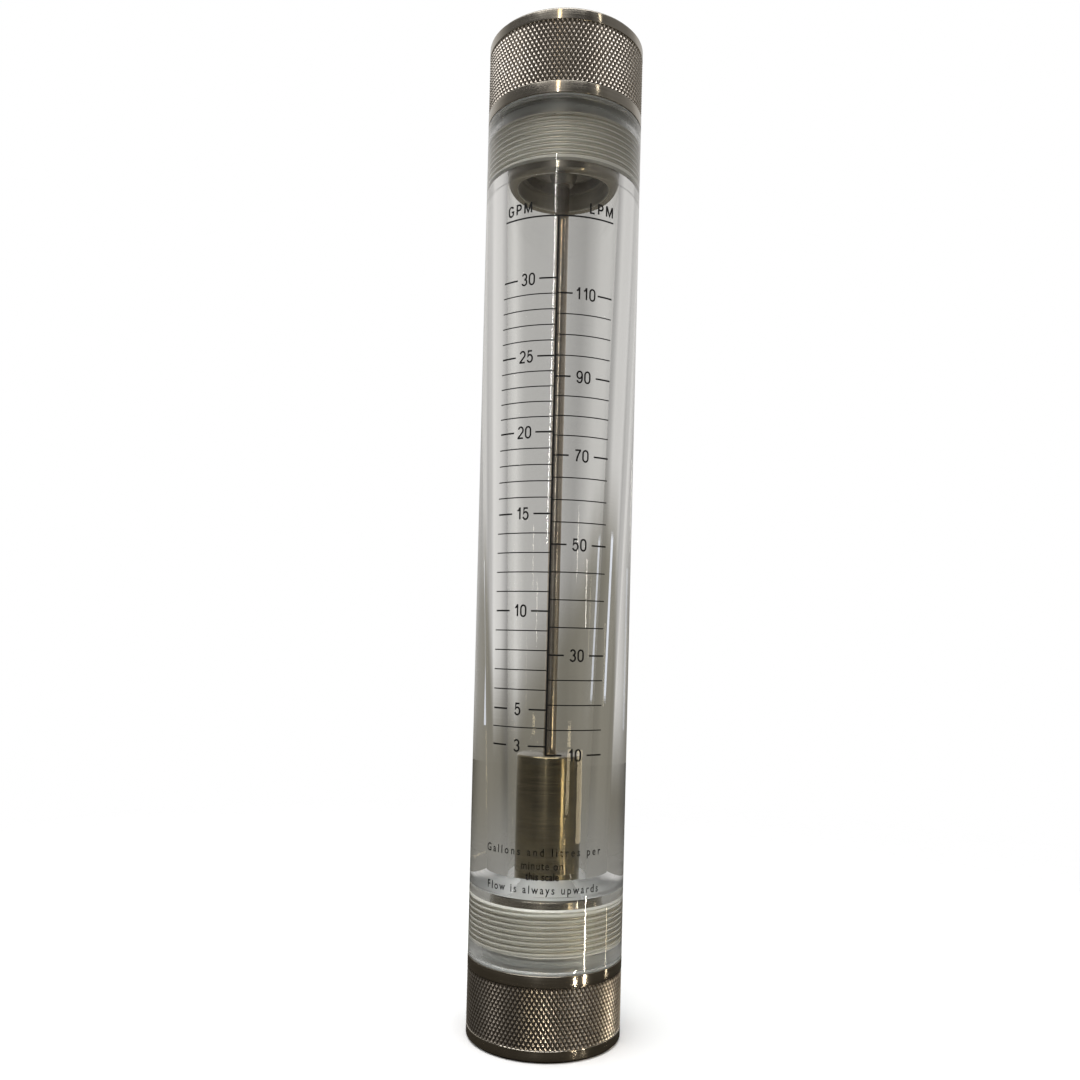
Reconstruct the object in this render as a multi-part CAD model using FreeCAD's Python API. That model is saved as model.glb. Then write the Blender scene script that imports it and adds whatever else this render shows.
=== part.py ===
# In-line variable-area flow meter with a solid acrylic metering tube.
#
# Two turned steel end fittings screw into the ends of a clear tube whose bore widens upwards.
# A steel float slides on a central rod. The rod is held by a three-legged guide in each fitting.
#
# Millimetres. The meter stands on its lower fitting: +Z is the way the liquid flows, the axis of
# the tube is the Z axis, and the origin is the centre of the lower fitting's outer face.

import FreeCAD, Part

import math
import os

from FreeCAD import Vector

# ---------------------------------------------------------------- overall sizes
OVERALL_LENGTH = 385.0
BODY_DIAMETER = 60.0

# ---------------------------------------------------------------- end fittings: head
HEAD_HEIGHT = 31.5
OUTER_BAND = 4.5            # smooth turned band next to the outer face
INNER_BAND = 4.25           # smooth turned band next to the tube
KNURL_HALF_DEPTH = 0.25     # the knurled band is drawn at the middle of its diamonds
HEAD_CHAMFER = 1.0

# ---------------------------------------------------------------- end fittings: pipe port
PORT_RADIUS = 15.15         # crest of a one-inch parallel pipe thread
PORT_THREAD_LENGTH = 20.0
PORT_MOUTH_CHAMFER = 1.5
PORT_RELIEF_LENGTH = 3.0
PORT_RELIEF_DEPTH = 1.6
THROAT_RADIUS = 13.5

# ---------------------------------------------------------------- end fittings: threaded neck
NECK_RADIUS = 24.0
NECK_LENGTH = 25.8
NECK_RELIEF_LENGTH = 3.8
NECK_RELIEF_DEPTH = 1.4
NECK_CHAMFER = 0.8
NECK_CLEARANCE = 0.05       # radial, neck in the tube's counterbore
NECK_END_GAP = 0.2          # axial, neck's end face to the foot of the counterbore's cone

# ---------------------------------------------------------------- seal rings
SEAL_GROOVE_OFFSET = 1.2    # from the head's inner face
SEAL_GROOVE_WIDTH = 3.2
SEAL_GROOVE_DEPTH = 2.1
SEAL_WIDTH = 2.9            # the ring's section as squeezed in its groove
SEAL_CORNER = 0.7

# ---------------------------------------------------------------- metering tube
BORE_RADIUS_LOW = 15.5
BORE_RADIUS_HIGH = 22.0
CONE_SLOPE_DEG = 37.0       # the counterboring tool's point
TUBE_CHAMFER = 0.4

# ---------------------------------------------------------------- rod and its guides
ROD_DIAMETER = 5.0
ROD_END_DIAMETER = 4.0
ROD_END_CLEARANCE = 0.08    # radial, in the hub
ROD_TIP = 1.2               # stands out past the nut
ROD_TIP_CHAMFER = 0.5

GUIDE_RADIUS = 17.5
GUIDE_CLEARANCE = 0.05      # radial, in the neck's pocket
GUIDE_RING_WALL = 2.5
GUIDE_HEIGHT = 4.0
GUIDE_DEPTH = 6.1           # from the neck's end face to the guide's inner face
GUIDE_EDGE = 0.3
GUIDE_LEGS = 3
LEG_WIDTH = 2.4
LEG_INSET = 0.35            # legs stand back from both faces of the ring
LEG_FLARE = 0.8             # how much wider a leg is at its two roots
LEG_NOSE_SLIMNESS = 0.8     # length of a leg's rounded edge over its half width
HUB_RADIUS = 5.3
HUB_SKIRT = 1.0             # hub below the ring's outer face
NOSE_HEIGHT = 3.0
NOSE_TIP_RADIUS = 3.9

# ---------------------------------------------------------------- rod fasteners
WASHER_RADIUS = 3.8
WASHER_THICKNESS = 0.9
WASHER_SPLIT = 0.7
NUT_ACROSS_FLATS = 7.0
NUT_HEIGHT = 3.2
NUT_CORNER_CHAMFER_DEG = 30.0

# ---------------------------------------------------------------- float
FLOAT_DIAMETER = 25.4
FLOAT_LENGTH = 55.0
FLOAT_EDGE = 0.5
FLOAT_ROD_CLEARANCE = 0.1   # radial running clearance on the rod

# ---------------------------------------------------------------- worked out from the above
BODY_RADIUS = BODY_DIAMETER / 2
ROD_RADIUS = ROD_DIAMETER / 2
ROD_END_RADIUS = ROD_END_DIAMETER / 2
KNURL_RADIUS = BODY_RADIUS - KNURL_HALF_DEPTH

COUNTERBORE_RADIUS = NECK_RADIUS + NECK_CLEARANCE
NECK_END = HEAD_HEIGHT + NECK_LENGTH
CONE_FOOT = NECK_END + NECK_END_GAP

POCKET_RADIUS = GUIDE_RADIUS + GUIDE_CLEARANCE
GUIDE_TOP = NECK_END - GUIDE_DEPTH
GUIDE_SEAT = GUIDE_TOP - GUIDE_HEIGHT
HUB_BOTTOM = GUIDE_SEAT - HUB_SKIRT
NOSE_TIP = GUIDE_TOP + NOSE_HEIGHT
WASHER_BOTTOM = HUB_BOTTOM - WASHER_THICKNESS
NUT_BOTTOM = WASHER_BOTTOM - NUT_HEIGHT
ROD_BOTTOM = NUT_BOTTOM - ROD_TIP

AXIS = Vector(0, 0, 1)
MID_PLANE = Vector(0, 0, OVERALL_LENGTH / 2)


def from_top(height):
    """Height of a place as far below the meter's top as `height` is above its bottom."""
    return OVERALL_LENGTH - height


def upper(shape):
    """The same piece at the other end of the meter."""
    return shape.mirror(MID_PLANE, AXIS)


def turned(outline):
    """Solid of revolution about the meter's axis of a closed (radius, height) outline."""
    corners = [Vector(radius, 0, height) for radius, height in outline]
    profile = Part.Face(Part.makePolygon(corners + corners[:1]))
    return profile.revolve(Vector(0, 0, 0), AXIS, 360)


def cylinder(radius, bottom, top):
    return Part.makeCylinder(radius, top - bottom, Vector(0, 0, bottom))


def cone_rise(bore_radius):
    """Height of the cone that leads from the counterbore to a bore of this radius."""
    return (COUNTERBORE_RADIUS - bore_radius) * math.tan(math.radians(CONE_SLOPE_DEG))


def metering_tube():
    """Clear round bar, counterbored at both ends, with a bore that widens upwards."""
    low_end = HEAD_HEIGHT
    high_end = from_top(HEAD_HEIGHT)
    return turned([
        (BODY_RADIUS - TUBE_CHAMFER, low_end),
        (BODY_RADIUS, low_end + TUBE_CHAMFER),
        (BODY_RADIUS, high_end - TUBE_CHAMFER),
        (BODY_RADIUS - TUBE_CHAMFER, high_end),
        (COUNTERBORE_RADIUS, high_end),
        (COUNTERBORE_RADIUS, from_top(CONE_FOOT)),
        (BORE_RADIUS_HIGH, from_top(CONE_FOOT) - cone_rise(BORE_RADIUS_HIGH)),
        (BORE_RADIUS_LOW, CONE_FOOT + cone_rise(BORE_RADIUS_LOW)),
        (COUNTERBORE_RADIUS, CONE_FOOT),
        (COUNTERBORE_RADIUS, low_end),
    ])


def end_fitting():
    """Knurled head with a female pipe port, and the threaded neck that holds the tube."""
    groove_low = HEAD_HEIGHT + SEAL_GROOVE_OFFSET
    groove_high = groove_low + SEAL_GROOVE_WIDTH
    relief_start = NECK_END - NECK_RELIEF_LENGTH
    relief_radius = NECK_RADIUS - NECK_RELIEF_DEPTH
    knurl_low = OUTER_BAND
    knurl_high = HEAD_HEIGHT - INNER_BAND
    port_relief_radius = PORT_RADIUS + PORT_RELIEF_DEPTH
    port_end = PORT_THREAD_LENGTH + PORT_RELIEF_LENGTH
    throat_start = port_end + (port_relief_radius - THROAT_RADIUS)
    outside = [
        (PORT_RADIUS + PORT_MOUTH_CHAMFER, 0),
        (BODY_RADIUS - HEAD_CHAMFER, 0),
        (BODY_RADIUS, HEAD_CHAMFER),
        (BODY_RADIUS, knurl_low),
        (KNURL_RADIUS, knurl_low),
        (KNURL_RADIUS, knurl_high),
        (BODY_RADIUS, knurl_high),
        (BODY_RADIUS, HEAD_HEIGHT),
        (NECK_RADIUS, HEAD_HEIGHT),
        (NECK_RADIUS, groove_low),
        (NECK_RADIUS - SEAL_GROOVE_DEPTH, groove_low),
        (NECK_RADIUS - SEAL_GROOVE_DEPTH, groove_high),
        (NECK_RADIUS, groove_high),
        (NECK_RADIUS, relief_start),
        (relief_radius, relief_start + NECK_RELIEF_DEPTH),
        (relief_radius, NECK_END - NECK_CHAMFER),
        (relief_radius - NECK_CHAMFER, NECK_END),
    ]
    inside = [
        (POCKET_RADIUS + GUIDE_EDGE, NECK_END),
        (POCKET_RADIUS, NECK_END - GUIDE_EDGE),
        (POCKET_RADIUS, GUIDE_SEAT),
        (THROAT_RADIUS, GUIDE_SEAT),
        (THROAT_RADIUS, throat_start),
        (port_relief_radius, port_end),
        (port_relief_radius, PORT_THREAD_LENGTH),
        (PORT_RADIUS, PORT_THREAD_LENGTH),
        (PORT_RADIUS, PORT_MOUTH_CHAMFER),
    ]
    return turned(outside + inside)


def seal_ring():
    """Elastomer ring, squeezed between its groove in the neck and the tube's counterbore."""
    middle = HEAD_HEIGHT + SEAL_GROOVE_OFFSET + SEAL_GROOVE_WIDTH / 2
    inner = NECK_RADIUS - SEAL_GROOVE_DEPTH
    low = middle - SEAL_WIDTH / 2
    high = middle + SEAL_WIDTH / 2
    ring = turned([
        (inner, low),
        (COUNTERBORE_RADIUS, low),
        (COUNTERBORE_RADIUS, high),
        (inner, high),
    ])
    return ring.makeFillet(SEAL_CORNER, [edge for edge in ring.Edges if is_circle(edge)])


def is_circle(edge):
    return isinstance(edge.Curve, Part.Circle)


def leg_section(radius, width):
    """Rounded section of a guide leg, as cut by a plane `radius` out along +X."""
    half_width = width / 2
    tip_low = GUIDE_SEAT + LEG_INSET
    tip_high = GUIDE_TOP - LEG_INSET
    straight_low = tip_low + half_width * LEG_NOSE_SLIMNESS
    straight_high = tip_high - half_width * LEG_NOSE_SLIMNESS
    low_left = Vector(radius, -half_width, straight_low)
    low_right = Vector(radius, half_width, straight_low)
    high_right = Vector(radius, half_width, straight_high)
    high_left = Vector(radius, -half_width, straight_high)
    nose_down = Part.Arc(low_left, Vector(radius, 0, tip_low), low_right)
    nose_up = Part.Arc(high_right, Vector(radius, 0, tip_high), high_left)
    return Part.Wire([
        nose_down.toShape(),
        Part.LineSegment(low_right, high_right).toShape(),
        nose_up.toShape(),
        Part.LineSegment(high_left, low_left).toShape(),
    ])


def guide_leg(angle_deg):
    """Streamlined leg from the hub to the ring, flared at both roots."""
    inner_root = HUB_RADIUS - 1
    outer_root = GUIDE_RADIUS - GUIDE_RING_WALL / 2
    waist_start = inner_root + (outer_root - inner_root) / 3
    waist_end = outer_root - (outer_root - inner_root) / 3
    sections = [
        leg_section(inner_root, LEG_WIDTH + LEG_FLARE),
        leg_section(waist_start, LEG_WIDTH),
        leg_section(waist_end, LEG_WIDTH),
        leg_section(outer_root, LEG_WIDTH + LEG_FLARE),
    ]
    leg = Part.makeLoft(sections, True, False)
    leg.rotate(Vector(0, 0, 0), AXIS, angle_deg)
    return leg


def rod_guide():
    """Ring, legs and hub in one casting. The hub's nose is the float's end stop."""
    ring_inner = GUIDE_RADIUS - GUIDE_RING_WALL
    ring = turned([
        (ring_inner, GUIDE_SEAT),
        (GUIDE_RADIUS - GUIDE_EDGE, GUIDE_SEAT),
        (GUIDE_RADIUS, GUIDE_SEAT + GUIDE_EDGE),
        (GUIDE_RADIUS, GUIDE_TOP - GUIDE_EDGE),
        (GUIDE_RADIUS - GUIDE_EDGE, GUIDE_TOP),
        (ring_inner, GUIDE_TOP),
    ])
    hub = turned([
        (0, HUB_BOTTOM),
        (HUB_RADIUS - GUIDE_EDGE, HUB_BOTTOM),
        (HUB_RADIUS, HUB_BOTTOM + GUIDE_EDGE),
        (HUB_RADIUS, GUIDE_TOP),
        (NOSE_TIP_RADIUS, NOSE_TIP),
        (0, NOSE_TIP),
    ])
    legs = [guide_leg(90 + 360 / GUIDE_LEGS * index) for index in range(GUIDE_LEGS)]
    rod_hole = cylinder(ROD_END_RADIUS + ROD_END_CLEARANCE, HUB_BOTTOM - 1, NOSE_TIP + 1)
    return ring.multiFuse([hub] + legs).cut(rod_hole).removeSplitter()


def guide_rod():
    """Rod with a reduced end at each side, whose shoulder seats on the hub's nose."""
    lower_half = [
        (0, ROD_BOTTOM),
        (ROD_END_RADIUS - ROD_TIP_CHAMFER, ROD_BOTTOM),
        (ROD_END_RADIUS, ROD_BOTTOM + ROD_TIP_CHAMFER),
        (ROD_END_RADIUS, NOSE_TIP),
        (ROD_RADIUS, NOSE_TIP),
    ]
    upper_half = [(radius, from_top(height)) for radius, height in reversed(lower_half)]
    return turned(lower_half + upper_half)


def lock_washer():
    """Split spring washer, drawn flat as it is when the nut is tight."""
    ring = cylinder(WASHER_RADIUS, WASHER_BOTTOM, HUB_BOTTOM)
    hole = cylinder(ROD_END_RADIUS + ROD_END_CLEARANCE, WASHER_BOTTOM, HUB_BOTTOM)
    split_corner = Vector(0, -WASHER_SPLIT / 2, WASHER_BOTTOM)
    split = Part.makeBox(WASHER_RADIUS + 1, WASHER_SPLIT, WASHER_THICKNESS, split_corner)
    return ring.cut(hole).cut(split)


def rod_nut():
    """Hexagon nut with its corners turned off at both faces."""
    corner_radius = NUT_ACROSS_FLATS / 2 / math.cos(math.radians(30))
    corners = [
        Vector(corner_radius, 0, NUT_BOTTOM),
        Vector(corner_radius / 2, NUT_ACROSS_FLATS / 2, NUT_BOTTOM),
        Vector(-corner_radius / 2, NUT_ACROSS_FLATS / 2, NUT_BOTTOM),
        Vector(-corner_radius, 0, NUT_BOTTOM),
        Vector(-corner_radius / 2, -NUT_ACROSS_FLATS / 2, NUT_BOTTOM),
        Vector(corner_radius / 2, -NUT_ACROSS_FLATS / 2, NUT_BOTTOM),
    ]
    hexagon = Part.Face(Part.makePolygon(corners + corners[:1]))
    prism = hexagon.extrude(Vector(0, 0, NUT_HEIGHT))
    face_radius = NUT_ACROSS_FLATS / 2
    drop = (corner_radius - face_radius) * math.tan(math.radians(NUT_CORNER_CHAMFER_DEG))
    turned_corners = turned([
        (0, NUT_BOTTOM),
        (face_radius, NUT_BOTTOM),
        (corner_radius, NUT_BOTTOM + drop),
        (corner_radius, WASHER_BOTTOM - drop),
        (face_radius, WASHER_BOTTOM),
        (0, WASHER_BOTTOM),
    ])
    thread_hole = cylinder(ROD_END_RADIUS + ROD_END_CLEARANCE, NUT_BOTTOM, WASHER_BOTTOM)
    return prism.common(turned_corners).cut(thread_hole)


def metering_float():
    """Solid steel float at rest on the lower guide's nose. Flow is read at its top edge."""
    radius = FLOAT_DIAMETER / 2
    hole_radius = ROD_RADIUS + FLOAT_ROD_CLEARANCE
    bottom = NOSE_TIP
    top = bottom + FLOAT_LENGTH
    return turned([
        (hole_radius + FLOAT_EDGE, bottom),
        (radius - FLOAT_EDGE, bottom),
        (radius, bottom + FLOAT_EDGE),
        (radius, top - FLOAT_EDGE),
        (radius - FLOAT_EDGE, top),
        (hole_radius + FLOAT_EDGE, top),
        (hole_radius, top - FLOAT_EDGE),
        (hole_radius, bottom + FLOAT_EDGE),
    ])


def pieces():
    """Every node's name and solid."""
    nodes = {
        "metering_tube": metering_tube(),
        "guide_rod": guide_rod(),
        "metering_float": metering_float(),
    }
    paired = {
        "end_fitting": end_fitting(),
        "seal_ring": seal_ring(),
        "rod_guide": rod_guide(),
        "lock_washer": lock_washer(),
        "rod_nut": rod_nut(),
    }
    for name, shape in paired.items():
        nodes["lower_" + name] = shape
        nodes["upper_" + name] = upper(shape)
    return nodes


os.makedirs("parts", exist_ok=True)
for node, solid in pieces().items():
    if len(solid.Solids) != 1 or not solid.isValid():
        raise ValueError(node + " is not one valid solid")
    solid.Solids[0].exportStep("parts/" + node + ".step")
    print(node, round(solid.Volume, 1), "mm3")
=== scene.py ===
"""Looks of an in-line rotameter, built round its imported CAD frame.

Two knurled stainless end fittings screw into the ends of a clear acrylic metering tube. A steel float
slides on a rod along the tube's axis, and the scale is printed on the tube's front, which faces -Y.

Sizes are millimetres and angles are radians unless a name says otherwise. Meshes are written in metres.
Heights and outer radii are read from the CAD frame's boxes, and the fields below add the rest. A few inner
sizes at the tube's ends differ from the CAD's, and their comments say so.
"""

import logging
import math
from collections.abc import Sequence
from dataclasses import dataclass, field
from enum import Enum
from typing import Any

import bmesh
import bpy
from mathutils import Matrix, Vector


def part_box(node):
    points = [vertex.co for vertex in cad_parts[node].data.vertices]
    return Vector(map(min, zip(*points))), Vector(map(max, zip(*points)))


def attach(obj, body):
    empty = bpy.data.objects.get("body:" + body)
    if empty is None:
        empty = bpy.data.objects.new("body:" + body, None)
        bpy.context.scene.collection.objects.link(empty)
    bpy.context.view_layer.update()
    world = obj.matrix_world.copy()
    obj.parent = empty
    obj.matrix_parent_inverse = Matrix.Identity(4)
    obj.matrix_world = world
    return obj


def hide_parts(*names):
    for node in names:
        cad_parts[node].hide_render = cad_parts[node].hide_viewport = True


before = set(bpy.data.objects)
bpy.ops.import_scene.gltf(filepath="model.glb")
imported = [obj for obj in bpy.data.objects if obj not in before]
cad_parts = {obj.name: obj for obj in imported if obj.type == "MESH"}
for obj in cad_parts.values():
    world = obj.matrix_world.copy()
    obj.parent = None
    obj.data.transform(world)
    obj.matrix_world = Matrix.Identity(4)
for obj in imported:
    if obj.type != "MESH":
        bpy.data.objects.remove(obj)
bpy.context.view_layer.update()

log = logging.getLogger("rotameter")

MM = 0.001
TURN = 2 * math.pi
KNURL_STARTS = 105
FACETS = 2 * KNURL_STARTS    # columns round a turned piece: each knurl diamond is two columns wide
WELD = 2e-6                  # metres: points nearer than this are one point
SHARP_EDGE = math.radians(28)
ROUNDED_SHARE = 0.4          # the most of a straight run that one rounded corner may take

Outline = list[tuple[float, float]]
Colour = tuple[float, float, float, float]


# ------------------------------------------------------------------------------------ frame and shapes

@dataclass(frozen=True)
class Span:
    """Where a turned piece lies on the meter's axis, in millimetres."""

    low: float
    high: float
    radius: float

    @classmethod
    def of(cls, node: str) -> "Span":
        """Reads a CAD node's box.

        Args:
            node: The CAD node's name.

        Returns:
            The node's heights and its outer radius.
        """
        lowest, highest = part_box(node)
        return cls(round(lowest.z / MM, 3), round(highest.z / MM, 3), round(highest.x / MM, 3))


class End(Enum):
    """The two ends of the meter. The upper pieces are the lower ones turned over."""

    LOWER = "lower"
    UPPER = "upper"

    def node(self, piece: str) -> str:
        """Name of this end's copy of a piece."""
        return f"{self.value}_{piece}"


@dataclass(frozen=True)
class ThreadForm:
    """A screw thread's section over one pitch.

    Each corner is (share of the pitch, share of the depth), starting on the crest. `base` is the radius
    at depth 0 of the profile, where the thread runs out, and `tip` the radius at depth 1.
    """

    pitch: float
    base: float
    tip: float
    corners: tuple[tuple[float, float], ...]
    runout: float = 1.2

    def radius(self, share: float, distance_from_end: float) -> float:
        """Radius of a thread corner, less near the thread's ends.

        Args:
            share: How far the corner stands from base to tip, 0 to 1.
            distance_from_end: Distance from the nearer end of the thread.

        Returns:
            The radius.
        """
        grown = min(1.0, max(0.0, distance_from_end / self.runout))
        return self.base + (self.tip - self.base) * share * grown


METRIC_CORNERS = ((0.0, 1.0), (0.125, 1.0), (0.42, 0.04), (0.47, 0.0), (0.66, 0.0), (0.71, 0.04))
WHITWORTH_CORNERS = ((0.0, 1.0), (0.1, 0.93), (0.43, 0.07), (0.53, 0.0), (0.63, 0.07), (0.9, 0.93))


def ring_point(radius: float, angle: float, height: float) -> tuple[float, float, float]:
    """Point on a turned surface. Angle 0 faces the reader, along -Y, and grows towards +X."""
    return (radius * math.sin(angle), -radius * math.cos(angle), height)


def softened(outline: Outline, radius: float, steps: int = 3) -> Outline:
    """Rounds the inner corners of an open outline with arcs, as a turned edge is broken.

    Args:
        outline: (radius, height) points.
        radius: Radius of the rounding, made smaller where the straight runs are short.
        steps: Points on each arc, less one.

    Returns:
        The outline with an arc in place of each corner.
    """
    made = [outline[0]]
    for before, corner, after in zip(outline, outline[1:], outline[2:]):
        here = Vector(corner)
        back = Vector(before) - here
        ahead = Vector(after) - here
        half = back.angle(ahead) / 2
        reach = min(radius / math.tan(half), ROUNDED_SHARE * back.length, ROUNDED_SHARE * ahead.length)
        start = here + back.normalized() * reach
        end = here + ahead.normalized() * reach
        for step in range(steps + 1):
            share = step / steps
            first = start.lerp(here, share)
            second = here.lerp(end, share)
            made.append(tuple(first.lerp(second, share)))
    made.append(outline[-1])
    return made


class Skin:
    """The surface of one piece in the making: points in millimetres, faces, and each face's finish."""

    def __init__(self, facets: int = FACETS) -> None:
        """Starts an empty skin.

        Args:
            facets: Facets round the axis.
        """
        self.facets = facets
        self.points: list[tuple[float, float, float]] = []
        self.faces: list[tuple[int, ...]] = []
        self.finishes: list[int] = []

    def face(self, corners: Sequence[tuple[float, float, float]], finish: int) -> None:
        """Adds one face.

        Args:
            corners: The face's corners in order.
            finish: Material slot of the face.
        """
        start = len(self.points)
        self.points.extend(corners)
        self.faces.append(tuple(range(start, len(self.points))))
        self.finishes.append(finish)

    def bands(self, rows: list[list[tuple[float, float, float]]], finish: int) -> None:
        """Adds the quads between rows of points.

        Args:
            rows: Rows of as many points each.
            finish: Material slot of the faces.
        """
        start = len(self.points)
        width = len(rows[0])
        for row in rows:
            self.points.extend(row)
        for row in range(len(rows) - 1):
            for column in range(width - 1):
                corner = start + row * width + column
                self.faces.append((corner, corner + 1, corner + width + 1, corner + width))
                self.finishes.append(finish)

    def turn(self, outline: Outline, finish: int = 0) -> None:
        """Turns an open outline of (radius, height) points about the axis."""
        angles = [TURN * column / self.facets for column in range(self.facets + 1)]
        self.bands([[ring_point(r, a, h) for a in angles] for r, h in outline], finish)

    def thread(self, form: ThreadForm, low: float, high: float, finish: int = 0) -> None:
        """Winds a right-hand thread between two heights, where it meets rings of its base radius.

        Args:
            form: The thread's section.
            low: Height of the thread's lower end.
            high: Height of its upper end.
            finish: Material slot of the faces.
        """
        turns = math.ceil((high - low) / form.pitch) + 2
        rows = []
        for turn in range(turns):
            for share, depth in form.corners:
                row = []
                for column in range(self.facets + 1):
                    wound = column / self.facets
                    height = low + form.pitch * (turn - 1 + share + wound)
                    height = min(high, max(low, height))
                    radius = form.radius(depth, min(height - low, high - height))
                    row.append(ring_point(radius, TURN * wound, height))
                rows.append(row)
        self.bands(rows, finish)

    def turned_over(self, length: float) -> "Skin":
        """Turns the skin over to the other end, which keeps its threads right-handed.

        Args:
            length: Length of the whole that the skin is one end of.

        Returns:
            A skin of its own.
        """
        other = Skin(self.facets)
        other.points = [(x, -y, length - z) for x, y, z in self.points]
        other.faces = list(self.faces)
        other.finishes = list(self.finishes)
        return other

    def join(self, other: "Skin") -> None:
        """Takes in another skin's faces.

        Args:
            other: The other skin, which stays as it is.
        """
        start = len(self.points)
        self.points.extend(other.points)
        self.faces.extend(tuple(start + index for index in corners) for corners in other.faces)
        self.finishes.extend(other.finishes)

    def piece(self, name: str, materials: Sequence[bpy.types.Material]) -> bpy.types.Object:
        """Welds the faces into an object.

        Args:
            name: The piece's name.
            materials: One material for each finish number.

        Returns:
            The object, in the scene and not yet riding on a body.
        """
        mesh = bpy.data.meshes.new(name)
        mesh.from_pydata([(x * MM, y * MM, z * MM) for x, y, z in self.points], [], self.faces)
        mesh.polygons.foreach_set("material_index", self.finishes)
        work = bmesh.new()
        work.from_mesh(mesh)
        bmesh.ops.remove_doubles(work, verts=work.verts, dist=WELD)
        bmesh.ops.recalc_face_normals(work, faces=work.faces)
        work.to_mesh(mesh)
        work.free()
        mesh.polygons.foreach_set("use_smooth", [True] * len(mesh.polygons))
        mesh.set_sharp_from_angle(angle=SHARP_EDGE)
        for material in materials:
            mesh.materials.append(material)
        made = bpy.data.objects.new(name, mesh)
        bpy.context.scene.collection.objects.link(made)
        return made


def seat(piece: bpy.types.Object, body: str, slot: str | None, *stands_for: str) -> None:
    """Ties a piece to its CAD body and hides the CAD nodes it stands for.

    Args:
        piece: The piece, in place.
        body: The CAD body that it moves with.
        slot: Not used.
        stands_for: CAD nodes that the piece replaces.
    """
    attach(piece, body)
    if stands_for:
        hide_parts(*stands_for)
    log.info("%s: %d faces, rides on %s", piece.name, len(piece.data.polygons), body)


# ------------------------------------------------------------------------------------ finishes

def linear(hex_colour: str) -> Colour:
    """Turns an sRGB hex colour to a linear one.

    Args:
        hex_colour: The colour, written such as '#C8BFB2'.

    Returns:
        Linear RGBA.
    """
    channels = [int(hex_colour[start:start + 2], 16) / 255 for start in (1, 3, 5)]
    bent = [c / 12.92 if c <= 0.04045 else ((c + 0.055) / 1.055) ** 2.4 for c in channels]
    return (bent[0], bent[1], bent[2], 1.0)


def tinted(level: float, tint: str) -> Colour:
    """Linear colour of a brightness and a tint."""
    red, green, blue, _ = linear(tint)
    return (level * red, level * green, level * blue, 1.0)


def add_node(tree: bpy.types.NodeTree, kind: str, inputs: dict[str | int, Any] | None = None,
             stops: Sequence[tuple[float, Colour]] = (), **settings: Any) -> bpy.types.Node:
    """Adds one node with its settings and links.

    Args:
        tree: The node tree.
        kind: The node's type name.
        inputs: Value or source socket for each input, by the input's name or number.
        stops: Positions and colours of a colour ramp.
        settings: Attributes of the node.

    Returns:
        The node.
    """
    made = tree.nodes.new(kind)
    for name, value in settings.items():
        setattr(made, name, value)
    for key, value in (inputs or {}).items():
        socket = made.inputs[key]
        if isinstance(value, bpy.types.NodeSocket):
            tree.links.new(value, socket)
        else:
            socket.default_value = value
    for index, (position, colour) in enumerate(stops):
        elements = made.color_ramp.elements
        stop = elements[index] if index < 2 else elements.new(position)
        stop.position = position
        stop.color = colour
    return made


def new_material(name: str) -> tuple[bpy.types.Material, bpy.types.NodeTree]:
    """Makes a material with an empty node tree.

    Args:
        name: The material's name.

    Returns:
        The material and its node tree.
    """
    material = bpy.data.materials.new(name)
    material.use_nodes = True
    material.node_tree.nodes.clear()
    return material, material.node_tree


class Marks(Enum):
    """How a metal surface was made, as the stretch of its marks across, across and along the axis."""

    TURNED = (0.012, 0.012, 1.0)     # rings round the axis
    DRAWN = (1.0, 1.0, 0.02)         # fine lines along the axis
    CAST = (1.0, 1.0, 1.0)           # even grain


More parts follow.
